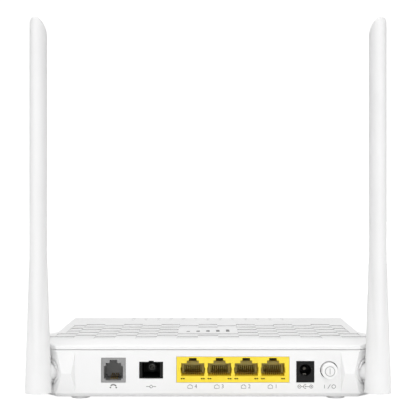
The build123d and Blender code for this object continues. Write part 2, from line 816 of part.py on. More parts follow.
with BuildPart() as power_inductors:
    for place in inductor_places:
        on_board(inductor_size, place)
    fillet(power_inductors.edges().filter_by(Axis.Z), part_round)
save(power_inductors.part, "power_inductors")

with BuildPart() as crystal:
    on_board(crystal_size, crystal_place)
    fillet(crystal.edges().filter_by(Axis.Z), part_round)
save(crystal.part, "crystal")

with BuildPart() as small_components:
    for (x, depth), (across, along) in small_fields:
        for column in range(across):
            for row in range(along):
                on_board(small_size, (x + (column - (across - 1) / 2) * small_pitch,
                                      depth + (row - (along - 1) / 2) * small_pitch))
save(small_components.part, "small_components")

with BuildPart() as status_leds:
    for x in light_places:
        on_board(led_size, (x, light_depth))
save(status_leds.part, "status_leds")

with BuildPart() as light_guide:
    bar_half = light_places[-1] + light_bar_end
    light_y = rear_y + light_depth
    block(2 * bar_half, light_bar_depth, light_bar_height, 0, light_y, light_bar_bottom)
    for x in light_places:
        peg(light_radius, body_top - light_tip_drop - light_bar_bottom, x, light_y, light_bar_bottom)
        peg(light_inlet_radius, light_bar_bottom - board_top - light_inlet_lift, x, light_y,
            board_top + light_inlet_lift)
    for side in (-1, 1):
        block(light_bar_height, light_bar_depth, light_bar_bottom - board_top,
              side * (bar_half - light_bar_height / 2), light_y, board_top)
save(light_guide.part, "light_guide")

# ---------------------------------------------------------------- antennas
antenna_floor = Plane(origin=(axis_x, axis_y, antenna_bottom))
cone_height = cone_top - antenna_bottom
cone_slope = (antenna_radius - blade_half_width) / cone_height
cone_extra = 10.0
tip_upright = math.sqrt(1 - tip_lean_front ** 2 - tip_lean_in ** 2)
tip_reach = math.hypot(tip_lean_in * blade_half_width, tip_lean_front * blade_half_depth) / tip_upright
tip_plane = Plane(origin=(axis_x, axis_y, antenna_top - tip_reach),
                  z_dir=(-tip_lean_in, tip_lean_front, tip_upright))


def toward_housing(distance):
    # a plane across the swivel axis, at a distance from the antenna's own axis
    return pivot_plane.offset(antenna_axis_gap - distance)


with BuildPart() as antenna_shell_right:
    with BuildSketch(antenna_floor):
        Circle(antenna_radius)
    with BuildSketch(antenna_floor.offset(cone_height + cone_extra)):
        Circle(blade_half_width - cone_slope * cone_extra)
    loft()
    with BuildSketch(antenna_floor):
        Ellipse(blade_half_width, blade_half_depth)
    extrude(amount=antenna_top - antenna_bottom)
    split(bisect_by=tip_plane, keep=Keep.BOTTOM)
    fillet(antenna_shell_right.faces().sort_by(Axis.Z)[-1].edges(), tip_round)
    # hollow inside
    with BuildSketch(antenna_floor):
        Circle(antenna_radius - antenna_wall)
    with BuildSketch(antenna_floor.offset(cone_height)):
        Circle(blade_half_width - antenna_wall)
    loft(mode=Mode.SUBTRACT)
    with BuildSketch(antenna_floor):
        Ellipse(blade_half_width - antenna_wall, blade_half_depth - antenna_wall)
    extrude(amount=antenna_top - antenna_bottom - 4 * tip_reach, mode=Mode.SUBTRACT)
    # swivel spigot with its clip groove and bore
    spigot_start = antenna_radius - 2 * antenna_wall
    spigot_end = antenna_axis_gap + hinge_length + spigot_tail
    groove_start = antenna_axis_gap + hinge_length + clip_play
    with BuildSketch(toward_housing(spigot_start)):
        Circle(spigot_radius)
    extrude(amount=spigot_start - spigot_end)
    with BuildSketch(toward_housing(groove_start)):
        Circle(spigot_radius)
        Circle(clip_groove, mode=Mode.SUBTRACT)
    extrude(amount=-clip_thickness - clip_slack, mode=Mode.SUBTRACT)
    # stop tab that turns in the collar's mouth
    with BuildSketch(pivot_plane.offset(-tab_drop)):
        Circle(tab_outer)
        add(pie(tab_start, tab_sweep), mode=Mode.INTERSECT)
    extrude(amount=collar_rise + tab_drop)
    with BuildSketch(toward_housing(0)):
        Circle(spigot_bore)
    extrude(amount=-spigot_end, mode=Mode.SUBTRACT)
save(antenna_shell_right.part, "antenna_shell_right")

with BuildPart() as antenna_cap_right:
    with BuildSketch(antenna_floor.offset(cap_recess)):
        Circle(antenna_radius - antenna_wall - cap_clearance)
    extrude(amount=cap_thickness)
save(antenna_cap_right.part, "antenna_cap_right")

with BuildPart() as swivel_clip_right:
    with BuildSketch(toward_housing(groove_start)):
        Circle(clip_outer)
        Circle(clip_groove + clip_fit, mode=Mode.SUBTRACT)
        with Locations((0, -clip_outer)):
            Rectangle(clip_mouth, clip_outer, mode=Mode.SUBTRACT)
    extrude(amount=-clip_thickness)
save(swivel_clip_right.part, "swivel_clip_right")

with BuildPart() as antenna_radiator_right:
    with BuildSketch(Plane(origin=(axis_x, axis_y, radiator_bottom))):
        Rectangle(radiator_thickness, radiator_width)
    extrude(amount=radiator_length)
save(antenna_radiator_right.part, "antenna_radiator_right")

# coaxial lead inside the antenna, down its axis and out through the spigot
spigot_mouth = toward_housing(spigot_end).origin
with BuildPart() as antenna_lead_right:
    with BuildLine() as lead_path:
        FilletPolyline((axis_x, axis_y, radiator_bottom), (axis_x, axis_y, pivot_height),
                       (spigot_mouth.X, spigot_mouth.Y, pivot_height), radius=lead_bend)
    with BuildSketch(Plane(origin=(axis_x, axis_y, radiator_bottom), z_dir=(0, 0, -1))):
        Circle(lead_diameter / 2)
    sweep(path=lead_path.wires()[0])
save(antenna_lead_right.part, "antenna_lead_right")

# the fixed lead inside the housing, from the swivel to the board; its points are counted inwards
# from the swivel's centre, behind the panel and up from the table
pigtail_start = toward_housing(spigot_end + lead_play).origin
pigtail_route = [(pivot_x - pigtail_start.X, pigtail_start.Y - rear_y, pivot_height), (7.5, 11.4, 14.2),
                 (9.7, 18.5, 13.6), (10.5, 28.0, 12.2), (14.4, 37.0, 11.2), (19.4, 41.5, 10.7),
                 (25.9, 44.0, 10.6)]
pigtail_points = [(pivot_x - inward, rear_y + depth, z) for inward, depth, z in pigtail_route]


def bend_radii(route):
    # each bend takes nearly half of the shorter run beside it
    radii = []
    for before, here, after in zip(route, route[1:], route[2:]):
        first = Vector(*here) - Vector(*before)
        second = Vector(*after) - Vector(*here)
        half_turn = math.radians(first.get_angle(second)) / 2
        radii.append(0.45 * min(first.length, second.length) / math.tan(half_turn))
    return radii


radii = bend_radii(pigtail_points)
print("bend radii of the fixed lead:", [round(radius, 1) for radius in radii])
with BuildPart() as antenna_pigtail_right:
    with BuildLine() as pigtail_path:
        FilletPolyline(pigtail_points, radius=radii)
    with BuildSketch(Plane(origin=pigtail_path.line @ 0, z_dir=pigtail_path.line % 0)):
        Circle(lead_diameter / 2)
    sweep(path=pigtail_path.wires()[0])
save(antenna_pigtail_right.part, "antenna_pigtail_right")

# plug on the fixed lead's end and the socket it sits on
crimp_wall = 0.3
crimp_length = 2.6
plug_radius = 1.6
plug_rise = 1.0  # above the lead's own height
with BuildPart() as coax_connectors:
    lead_end = Vector(*pigtail_points[-1])
    end_plane = Plane(origin=lead_end, z_dir=lead_end - Vector(*pigtail_points[-2]))
    with BuildSketch(end_plane):
        Circle(lead_diameter / 2 + crimp_wall)
    extrude(amount=crimp_length)
    plug = end_plane.offset(crimp_length).origin
    peg(plug_radius, lead_end.Z + plug_rise - board_top, plug.X, plug.Y, board_top)
    mirror(about=Plane.YZ)
save(coax_connectors.part, "coax_connectors")

for piece in (antenna_shell_right, antenna_cap_right, swivel_clip_right, antenna_radiator_right,
              antenna_lead_right, antenna_pigtail_right):
    save(mirrored(piece.part), piece.part.label.replace("_right", "_left"))
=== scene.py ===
import json
import math

import bpy
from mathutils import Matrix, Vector


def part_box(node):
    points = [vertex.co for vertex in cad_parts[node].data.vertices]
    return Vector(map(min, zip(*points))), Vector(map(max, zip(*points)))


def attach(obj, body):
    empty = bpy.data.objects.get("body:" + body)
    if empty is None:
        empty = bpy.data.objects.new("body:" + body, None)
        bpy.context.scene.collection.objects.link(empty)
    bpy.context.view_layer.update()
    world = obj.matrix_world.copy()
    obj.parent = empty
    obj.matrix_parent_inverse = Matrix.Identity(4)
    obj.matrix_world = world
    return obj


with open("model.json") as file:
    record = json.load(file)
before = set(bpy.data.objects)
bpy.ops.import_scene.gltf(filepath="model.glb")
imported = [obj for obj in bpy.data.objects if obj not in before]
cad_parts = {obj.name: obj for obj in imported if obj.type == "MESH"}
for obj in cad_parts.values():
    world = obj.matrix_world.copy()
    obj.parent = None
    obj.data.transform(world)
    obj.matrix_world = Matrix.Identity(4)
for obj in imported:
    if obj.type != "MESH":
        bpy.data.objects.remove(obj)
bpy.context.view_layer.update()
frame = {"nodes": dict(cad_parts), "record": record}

mm = 0.001
nodes = frame["nodes"]

# places read from the frame
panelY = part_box("lan_jack_block")[0].y  # the connector panel's plane
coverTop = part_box("top_cover")[1].z
print("frame loaded, connector panel at y =", round(panelY / mm, 2), "mm")


# materials

def linear(hexColour):
    # sRGB hex to the linear values that Blender wants
    values = []
    for i in (0, 2, 4):
        c = int(hexColour[i:i + 2], 16) / 255
        values.append(c / 12.92 if c <= 0.04045 else ((c + 0.055) / 1.055) ** 2.4)
    return (*values, 1.0)


def addNode(tree, kind, settings=None, inputs=None, links=()):
    # one node with its settings, its socket values and what feeds it: (input, from node, output)
    node = tree.nodes.new(kind)
    for key, value in (settings or {}).items():
        setattr(node, key, value)
    for key, value in (inputs or {}).items():
        node.inputs[key].default_value = value
    for key, source, output in links:
        tree.links.new(source.outputs[output], node.inputs[key])
    return node


def newMaterial(name, colour, roughness, **more):
    mat = bpy.data.materials.new(name)
    mat.use_nodes = True
    tree = mat.node_tree
    shader = tree.nodes["Principled BSDF"]
    shader.inputs["Base Color"].default_value = linear(colour)
    shader.inputs["Roughness"].default_value = roughness
    for key, value in more.items():
        shader.inputs[key.replace("_", " ")].default_value = value
    return mat, tree, shader


def addGrain(tree, shader, grainMm, depthMm, strength, stretch=None):
    # surface grain as bump, sized in real millimetres, and drawn out into lines where it is stretched
    place = addNode(tree, "ShaderNodeTexCoord")
    source = place
    output = "Object"
    if stretch:
        source = addNode(tree, "ShaderNodeMapping", inputs={"Scale": stretch},
                         links=[("Vector", place, "Object")])
        output = "Vector"
    noise = addNode(tree, "ShaderNodeTexNoise", inputs={"Scale": 1 / (grainMm * mm)},
                    links=[("Vector", source, output)])
    bump = addNode(tree, "ShaderNodeBump", inputs={"Strength": strength, "Distance": depthMm * mm},
                   links=[("Height", noise, "Fac")])
    tree.links.new(bump.outputs["Normal"], shader.inputs["Normal"])
    return place


def addTint(tree, shader, place, patchMm, low, high):
    # faint uneven tone over the surface
    noise = addNode(tree, "ShaderNodeTexNoise", inputs={"Scale": 1 / (patchMm * mm), "Detail": 3.0},
                    links=[("Vector", place, "Object")])
    ramp = addNode(tree, "ShaderNodeValToRGB", links=[("Fac", noise, "Fac")])
    ramp.color_ramp.elements[0].position = 0.3
    ramp.color_ramp.elements[1].position = 0.7
    ramp.color_ramp.elements[0].color = linear(low)
    ramp.color_ramp.elements[1].color = linear(high)
    tree.links.new(ramp.outputs["Color"], shader.inputs["Base Color"])


def addRoughness(tree, shader, place, patchMm, low, high):
    # roughness that varies a little, as handling leaves it
    noise = addNode(tree, "ShaderNodeTexNoise", inputs={"Scale": 1 / (patchMm * mm), "Detail": 4.0},
                    links=[("Vector", place, "Object")])
    span = addNode(tree, "ShaderNodeMapRange", inputs={"To Min": low, "To Max": high},
                   links=[("Value", noise, "Fac")])
    tree.links.new(span.outputs["Result"], shader.inputs["Roughness"])


def makeWhiteAbs():
    # ABS moulded in a lightly spark-eroded tool: soft even sheen, a grain of about 0.25 mm
    mat, tree, shader = newMaterial("whiteAbs", "F3F3F3", 0.42, IOR=1.54)
    place = addGrain(tree, shader, 0.25, 0.01, 0.12)
    addTint(tree, shader, place, 40, "F1F1F1", "F5F5F5")
    addRoughness(tree, shader, place, 6, 0.38, 0.48)
    return mat


def makeYellowPbt():
    # glass-filled PBT, satin from the tool with faint flow marks
    mat, tree, shader = newMaterial("yellowPbt", "FBE03A", 0.48, IOR=1.5)
    place = addGrain(tree, shader, 0.2, 0.01, 0.15)
    addTint(tree, shader, place, 5, "F9DD34", "FDE440")
    return mat


def makeGreyPbt():
    # grey PBT, satin
    mat, tree, shader = newMaterial("greyPbt", "979797", 0.45, IOR=1.57)
    place = addGrain(tree, shader, 0.2, 0.01, 0.15)
    addTint(tree, shader, place, 4, "929292", "9C9C9C")
    return mat


def makeBlackPbt():
    # black PBT, satin with a fine grain that catches a little light
    mat, tree, shader = newMaterial("blackPbt", "0B0B0B", 0.55, IOR=1.5, Specular_IOR_Level=0.25)
    place = addGrain(tree, shader, 0.2, 0.015, 0.2)
    addTint(tree, shader, place, 4, "090909", "101010")
    return mat


def makeAcetal():
    # natural acetal: milky, slightly waxy
    mat, tree, shader = newMaterial("naturalAcetal", "ECEBE4", 0.32, IOR=1.48)
    place = addGrain(tree, shader, 0.5, 0.01, 0.1)
    addTint(tree, shader, place, 5, "E8E7DF", "EFEEE8")
    return mat


def makeShadedGold():
    # gold flash over nickel on bronze strip, its colour darkened as painted shade for contacts deep in the
    # sockets; rolled so it has fine lines along its length
    mat, tree, shader = newMaterial("goldFlashPaintedShade", "A88A3C", 0.38, Metallic=1.0)
    addGrain(tree, shader, 0.3, 0.01, 0.15, stretch=(4.0, 0.4, 0.4))
    return mat


def makeNickel():
    # bright nickel plate on steel: even mirror with faint haze
    mat, tree, shader = newMaterial("nickelPlate", "C9C5BC", 0.24, Metallic=1.0)
    place = addGrain(tree, shader, 0.4, 0.01, 0.1)
    addRoughness(tree, shader, place, 3, 0.18, 0.3)
    return mat


def makeShadedNickel():
    # nickel with a darker base as painted shade for the pin deep inside the jack, and a rougher, duller
    # finish
    mat, tree, shader = newMaterial("nickelPaintedShade", "6E6A64", 0.55, Metallic=1.0)
    place = addGrain(tree, shader, 0.3, 0.01, 0.2)
    addRoughness(tree, shader, place, 2, 0.45, 0.65)
    return mat


def makeShadedCeramic():
    # ground zirconia coloured near black as painted shade for the sleeve deep in the receptacle: dense,
    # nearly polished
    mat, tree, shader = newMaterial("zirconia", "1D1D1F", 0.3, IOR=2.1)
    addGrain(tree, shader, 0.1, 0.004, 0.1)
    return mat


def makeAcrylic():
    # clear acrylic light pipe: nearly water clear and polished
    mat, tree, shader = newMaterial("clearAcrylic", "EEF3EC", 0.12, IOR=1.49, Transmission_Weight=0.6)
    addGrain(tree, shader, 0.4, 0.005, 0.1)
    return mat


def makeSmoked():
    # smoked acrylic over an unlit lamp: near black, satin where it left the tool
    mat, tree, shader = newMaterial("smokedAcrylic", "070707", 0.4, IOR=1.49, Specular_IOR_Level=0.25)
    addGrain(tree, shader, 0.4, 0.005, 0.1)
    return mat


def makeLaminate():
    # green solder mask over woven glass laminate; the weave shows as faint cells of 0.5 by 0.25 mm
    mat, tree, shader = newMaterial("solderMask", "0F5B33", 0.3, IOR=1.55)
    place = addNode(tree, "ShaderNodeTexCoord")
    weave = addNode(tree, "ShaderNodeTexBrick", settings={"offset": 0.5},
                    inputs={"Scale": 1 / mm, "Mortar Size": 0.06, "Color1": linear("0F5B33"),
                            "Color2": linear("12643A"), "Mortar": linear("0C4D2B")},
                    links=[("Vector", place, "Object")])
    tree.links.new(weave.outputs["Color"], shader.inputs["Base Color"])
    return mat


def makeEpoxy():
    # moulded epoxy chip package: flat near-black with a fine matt tooth
    mat, tree, shader = newMaterial("chipEpoxy", "1C1C1E", 0.62, IOR=1.55)
    place = addGrain(tree, shader, 0.12, 0.01, 0.35)
    addTint(tree, shader, place, 3, "19191B", "212123")
    return mat


def makeSleeve():
    # heat-shrunk PVC sleeve on a capacitor: glossy dark blue
    mat, tree, shader = newMaterial("shrinkSleeve", "1B2147", 0.22, IOR=1.53)
    place = addGrain(tree, shader, 1.2, 0.02, 0.2)
    addTint(tree, shader, place, 4, "181E42", "20264E")
    return mat


def makeLedBody():
    # clear epoxy over a phosphor chip
    mat, tree, shader = newMaterial("ledEpoxy", "E3E6B0", 0.2, IOR=1.5)
    addGrain(tree, shader, 0.3, 0.005, 0.1)
    return mat


def makeAluminium():
    # extruded aluminium: soft grey with die lines along the fins
    mat, tree, shader = newMaterial("extrudedAluminium", "C4C6C8", 0.34, Metallic=1.0)
    addGrain(tree, shader, 0.3, 0.02, 0.25, stretch=(1.0, 0.02, 1.0))
    return mat


def makeSilicone():
    # soft filled silicone pad: blue-grey, dull
    mat, tree, shader = newMaterial("siliconePad", "8C9AB0", 0.7, IOR=1.41)
    place = addGrain(tree, shader, 0.4, 0.02, 0.3)
    addTint(tree, shader, place, 3, "8794AA", "929FB5")
    return mat


def makeRubber():
    # moulded rubber foot: pale grey, dull, a little dusty
    mat, tree, shader = newMaterial("footRubber", "E2E2E2", 0.75, IOR=1.52)
    place = addGrain(tree, shader, 0.3, 0.02, 0.3)
    addTint(tree, shader, place, 3, "DCDCDC", "E8E8E8")
    return mat


def makeJacket():
    # extruded coax jacket: black, slightly shiny and a little uneven
    mat, tree, shader = newMaterial("coaxJacket", "1E1E1E", 0.35, IOR=1.4)
    place = addGrain(tree, shader, 0.5, 0.01, 0.2)
    addTint(tree, shader, place, 4, "1A1A1A", "242424")
    return mat


finishes = {
    "white_abs": makeWhiteAbs(), "yellow_pbt": makeYellowPbt(), "grey_pbt": makeGreyPbt(),
    "black_pbt": makeBlackPbt(), "white_acetal": makeAcetal(), "gold_plated": makeShadedGold(),
    "nickel_steel": makeNickel(), "ceramic_sleeve": makeShadedCeramic(), "clear_acrylic": makeAcrylic(),
    "smoked_acrylic": makeSmoked(), "green_laminate": makeLaminate(), "chip_epoxy": makeEpoxy(),
    "capacitor_sleeve": makeSleeve(), "led_body": makeLedBody(), "aluminium_fins": makeAluminium(),
    "silicone_pad": makeSilicone(), "rubber_foot": makeRubber(), "coax_jacket": makeJacket(),
}
for entry in frame["record"]["subparts"]:
    part = nodes[entry["node"]]
    part.data.materials.clear()
    part.data.materials.append(finishes[entry["material_slot"]])
# the pin deep in the jack gets darkened nickel as painted shade
nodes["dc_jack_pin"].data.materials[0] = makeShadedNickel()
print("materials on", len(nodes), "nodes")


# pieces that the frame only holds in outline

def makeCarrierShadedNylon():
    # glass-filled nylon of the contact carriers, its yellow darkened to olive as painted shade deep in the
    # port; dull, with a fine tooth
    mat, tree, shader = newMaterial("carrierNylonPaintedShade", "B9AE6C", 0.6, IOR=1.53)
    place = addGrain(tree, shader, 0.2, 0.015, 0.2)
    addTint(tree, shader, place, 3, "B2A763", "C1B777")
    return mat


def makePadInk():
    # pad-printed ink: flat grey film, a little uneven where the pad lifted
    mat, tree, shader = newMaterial("padInk", "7A7A7A", 0.55, IOR=1.5)
    place = addGrain(tree, shader, 0.15, 0.004, 0.2)
    addTint(tree, shader, place, 0.8, "727272", "858585")
    return mat


carrierShadedNylon, padInk = makeCarrierShadedNylon(), makePadInk()


def addBox(name, low, high, bevelMm=0.08):
    # a cube between two corners in mm, its edges broken
    bpy.ops.object.select_all(action="DESELECT")
    middle = [(a + b) / 2 * mm for a, b in zip(low, high)]
    bpy.ops.mesh.primitive_cube_add(size=1, location=middle)
    box = bpy.context.object
    box.name = name
    box.scale = [(b - a) * mm for a, b in zip(low, high)]
    bpy.ops.object.transform_apply(location=True, rotation=True, scale=True)
    bpy.ops.object.mode_set(mode="EDIT")
    bpy.ops.mesh.select_all(action="SELECT")
    bpy.ops.mesh.bevel(offset=bevelMm * mm, segments=2, affect="EDGES")
    bpy.ops.object.mode_set(mode="OBJECT")
    return box


def joinAs(name, pieces):
    # several meshes made one piece at the origin
    bpy.ops.object.select_all(action="DESELECT")
    for piece in pieces:
        piece.select_set(True)
    bpy.context.view_layer.objects.active = pieces[0]
    bpy.ops.object.join()
    whole = bpy.context.object
    whole.name = name
    bpy.ops.object.transform_apply(location=True, rotation=True, scale=True)
    return whole


def finishPiece(piece, body, mat, smoothDegrees=35):
    # its material, its shading and the body it rides on
    piece.data.materials.clear()
    piece.data.materials.append(mat)
    bpy.ops.object.select_all(action="DESELECT")
    piece.select_set(True)
    bpy.context.view_layer.objects.active = piece
    bpy.ops.object.shade_smooth_by_angle(angle=math.radians(smoothDegrees))
    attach(piece, body)


def copyAlong(piece, name, shift):
    # a copy with its own mesh, moved in mm
    twin = piece.copy()
    twin.data = piece.data.copy()
    twin.name = name
    bpy.context.collection.objects.link(twin)
    bpy.ops.object.select_all(action="DESELECT")
    twin.select_set(True)
    bpy.context.view_layer.objects.active = twin
    twin.location = [value * mm for value in shift]
    bpy.ops.object.transform_apply(location=True, rotation=True, scale=True)
    return twin


def insetFront(piece, marginMm):
    # the face turned to the plug is picked and inset; edit mode stays on for what follows
    bpy.ops.object.mode_set(mode="EDIT")
    bpy.ops.mesh.select_all(action="DESELECT")
    bpy.ops.object.mode_set(mode="OBJECT")
    front = max(piece.data.polygons, key=lambda face: (-face.normal.y) * face.area)
    front.select = True
    bpy.ops.object.mode_set(mode="EDIT")
    bpy.ops.mesh.select_mode(type="FACE")
    bpy.ops.mesh.inset(thickness=marginMm * mm)


def settle(piece, y=0.0, z=0.0):
    # from the origin to its surface, and the move applied
    piece.location = (0, y, z)
    bpy.ops.object.transform_apply(location=True, rotation=True, scale=True)


def middleX(name):
    # the middle of a node across the panel, in mm
    return sum(corner.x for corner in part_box(name)) / 2 / mm


# the carrier at the back of each network port: a framed window with comb ribs between the contacts

carrier = {"half": 5.95, "bottom": 12.3, "top": 18.9, "front": 8.4, "back": 12.9, "margin": 1.15,
           "windowDrop": 0.7, "windowDepth": 3.6, "ribCount": 9, "ribPitch": 1.02, "ribWidth": 0.42,
           "ribBottom": 14.35, "ribTop": 17.9, "ribFront": 9.2, "ribRoot": 0.2, "edge": 0.15}
latch = {"half": 1.93, "bottom": 20.45, "top": 21.65, "front": 2.4, "back": 12.9, "lip": 0.25,
         "pocket": 4, "edge": 0.15}
portPitch = 13.97
portCount = 4

panelMm = panelY / mm
firstPort = middleX("lan_jack_block") - (portCount - 1) / 2 * portPitch


def makeCarrier(x):
    # a block whose window is sunk from the front, with the ribs rooted in the window's back
    window = addBox("carrierFrame", (x - carrier["half"], panelMm + carrier["front"], carrier["bottom"]),
                    (x + carrier["half"], panelMm + carrier["back"], carrier["top"]), carrier["edge"])
    insetFront(window, carrier["margin"])
    bpy.ops.transform.translate(value=(0, 0, -carrier["windowDrop"] * mm))
    bpy.ops.mesh.extrude_region_move(
        TRANSFORM_OT_translate={"value": (0, carrier["windowDepth"] * mm, 0)})
    bpy.ops.object.mode_set(mode="OBJECT")
    ribFront = panelMm + carrier["ribFront"]
    ribBack = panelMm + carrier["front"] + carrier["windowDepth"] + carrier["ribRoot"]
    ribs = []
    for index in range(carrier["ribCount"]):
        ribX = x + (index - (carrier["ribCount"] - 1) / 2) * carrier["ribPitch"]
        ribs.append(addBox("rib", (ribX - carrier["ribWidth"] / 2, ribFront, carrier["ribBottom"]),
                           (ribX + carrier["ribWidth"] / 2, ribBack, carrier["ribTop"])))
    return joinAs("contact_carrier_1", [window] + ribs)


def makeLatchShadeStrip(x):
    # black strip behind the latch slot, put there as painted shade for the deep slot; its front sunk inside
    # a thin lip
    strip = addBox("latch_shade_strip_1", (x - latch["half"], panelMm + latch["front"], latch["bottom"]),
                   (x + latch["half"], panelMm + latch["back"], latch["top"]), latch["edge"])
    insetFront(strip, latch["lip"])
    bpy.ops.mesh.extrude_region_move(TRANSFORM_OT_translate={"value": (0, latch["pocket"] * mm, 0)})
    bpy.ops.object.mode_set(mode="OBJECT")
    return strip


# the carriers' olive and the black latch strips are painted shade in the deep ports
portPieces = (
    ("contact_carrier", makeCarrier(firstPort), "yellow_pbt", carrierShadedNylon),
    ("latch_shade_strip", makeLatchShadeStrip(firstPort), "black_pbt", finishes["black_pbt"]),
)
for index in range(1, portCount):
    for word, first, slot, mat in portPieces:
        twin = copyAlong(first, f"{word}_{index + 1}", (index * portPitch, 0, 0))
        finishPiece(twin, "housing", mat)
for word, first, slot, mat in portPieces:
    finishPiece(first, "housing", mat)
print("contact carriers and latch springs made")


# painted shade: a grey film in each groove of the cover's bricks, lifted from the cover's own step faces

groove = {"start": 12.0, "end": 104.0, "below": 1.0, "steep": 0.9, "lift": 0.015, "film": 0.02,
          "weld": 0.001}


def makeGroovePaintedShade():
    # grey matt film as painted shade for the grooves, which reads as a grey line
    mat, tree, shader = newMaterial("groovePaintedShade", "BDBDBD", 0.8, IOR=1.5)
    place = addGrain(tree, shader, 0.15, 0.01, 0.3)
    addTint(tree, shader, place, 2, "B8B8B8", "C3C3C3")
    return mat


def makeGrooveShadeLines():
    # all but the steps between the bricks is deleted from a copy of the cover, and a film of painted shade
    # is left on them
    bpy.ops.object.select_all(action="DESELECT")
    cover = nodes["top_cover"]
    lines = cover.copy()
    lines.data = cover.data.copy()
    lines.name = "groove_painted_shade"
    bpy.context.collection.objects.link(lines)
    lines.select_set(True)
    bpy.context.view_layer.objects.active = lines
    bpy.ops.object.mode_set(mode="EDIT")
    bpy.ops.mesh.select_mode(type="FACE")
    bpy.ops.mesh.select_all(action="SELECT")
    bpy.ops.mesh.remove_doubles(threshold=groove["weld"] * mm)
    bpy.ops.mesh.select_all(action="DESELECT")
    bpy.ops.object.mode_set(mode="OBJECT")
    for face in lines.data.polygons:
        lowest = min(lines.data.vertices[corner].co.z for corner in face.vertices)
        depth = (face.center.y - panelY) / mm
        upright = face.normal.y < -groove["steep"] or abs(face.normal.x) > groove["steep"]
        onBricks = lowest > coverTop - groove["below"] * mm and groove["start"] < depth < groove["end"]
        face.select = not (upright and onBricks)
    bpy.ops.object.mode_set(mode="EDIT")
    bpy.ops.mesh.delete(type="FACE")
    bpy.ops.mesh.select_all(action="SELECT")
    bpy.ops.transform.shrink_fatten(value=groove["lift"] * mm)
    bpy.ops.object.mode_set(mode="OBJECT")
    solid = lines.modifiers.new("film", "SOLIDIFY")
    solid.thickness = groove["film"] * mm
    solid.offset = 0
    bpy.ops.object.modifier_apply(modifier=solid.name)
    return lines


grooveShadeLines = makeGrooveShadeLines()
# the grooves' shade is painted on by this grey film
finishPiece(grooveShadeLines, "housing", makeGroovePaintedShade())
print("groove lines made,", len(grooveShadeLines.data.polygons), "faces")


# printed marks: the sizes of all of them, then the plain symbols under the sockets

legend = {"z": 6.8, "stroke": 0.3, "boldShare": 2.4, "film": 0.03, "figureSize": 2.9, "figureShift": 1.6}
coverMark = {"depth": 46.7, "bars": 5, "pitch": 5.6, "width": 1.9, "shortest": 3.0, "step": 1.6}
lightMark = {"depth": 107.4, "count": 13, "pitch": 7.8, "length": 2.2, "width": 0.8}


def ringPoints(x, z, radius, start=0, end=360, steps=24):
    angles = [math.radians(start + (end - start) * i / steps) for i in range(steps + 1)]
    return [(x + radius * math.cos(a), z + radius * math.sin(a)) for a in angles]


def addStroke(points, width, flat=False):
    # one printed line as a thin flattened wire, upright on the panel or flat on the cover
    bpy.ops.object.select_all(action="DESELECT")
    bpy.ops.curve.primitive_nurbs_path_add(location=(0, 0, 0))
    line = bpy.context.object
    line.data.splines.clear()
    spline = line.data.splines.new("POLY")
    spline.points.add(len(points) - 1)
    for target, (a, b) in zip(spline.points, points):
        target.co = (a * mm, b * mm, 0, 1) if flat else (a * mm, 0, b * mm, 1)
    line.data.bevel_depth = width / 2 * mm
    line.data.bevel_resolution = 2
    line.data.use_fill_caps = True
    bpy.ops.object.convert(target="MESH")
    stroke = bpy.context.object
    press = legend["film"] / (width / 2)
    stroke.scale = (1, 1, press) if flat else (1, press, 1)
    bpy.ops.object.transform_apply(location=True, rotation=True, scale=True)
    return stroke


def addFigure(body, x, z):
    # a plain figure, made a mesh before it is stood up on the panel
    bpy.ops.object.select_all(action="DESELECT")
    bpy.ops.object.text_add(location=(0, 0, 0))
    figure = bpy.context.object
    figure.data.body = body
    figure.data.size = legend["figureSize"] * mm
    figure.data.align_x = "CENTER"
    figure.data.align_y = "CENTER"
    figure.data.extrude = legend["film"] * mm
    bpy.ops.object.convert(target="MESH")
    figure = bpy.context.object
    figure.rotation_euler = (math.radians(90), 0, 0)
    figure.location = (x * mm, 0, z * mm)
    bpy.ops.object.transform_apply(location=True, rotation=True, scale=True)
    return figure


thin = legend["stroke"]
bold = legend["boldShare"] * legend["stroke"]
telX = middleX("tel_jack_housing")
ponX = middleX("pon_receptacle")
dcX = middleX("dc_jack_body")
buttonX = middleX("power_button_cap")
symbols = {
    # handset: a bow between two cups
    "mark_phone": (telX, [(ringPoints(0, -0.7, 1.7, 35, 145), bold), ([(-1.9, -0.35), (-1.15, -0.6)], bold),
                          ([(1.15, -0.6), (1.9, -0.35)], bold)]),
    # fibre: a ring on a straight run
    "mark_fibre": (ponX, [([(-2.6, 0), (-0.7, 0)], thin), (ringPoints(0, 0, 0.7), thin),
                          ([(0.7, 0), (2.6, 0)], thin)]),
    # centre-positive barrel plug
    "mark_power": (dcX, [(ringPoints(-3.1, 0, 0.85), thin), ([(-3.5, 0), (-2.7, 0)], thin),
                         ([(-2.25, 0), (-0.95, 0)], thin), (ringPoints(0, 0, 0.95, 60, 300), thin),
                         (ringPoints(0, 0, 0.15), thin), ([(0, 0), (2.25, 0)], thin),
                         (ringPoints(3.1, 0, 0.85), thin), ([(2.7, 0), (3.5, 0)], thin),
                         ([(3.1, -0.4), (3.1, 0.4)], thin)]),
    # on and off
    "mark_switch": (buttonX, [([(-2.4, -0.95), (-2.4, 0.95)], thin), ([(-0.7, -1.1), (0.7, 1.1)], thin),
                              (ringPoints(2.4, 0, 0.95), thin)]),
}
for index in range(portCount):
    # a socket's outline beside its number
    symbols[f"mark_port_{portCount - index}"] = (
        firstPort + index * portPitch,
        [([(-2.6, -0.9), (-2.6, 0.5), (-1.9, 0.5), (-1.9, 0.95), (-0.9, 0.95), (-0.9, 0.5), (-0.2, 0.5),
           (-0.2, -0.9), (-2.6, -0.9)], thin)])
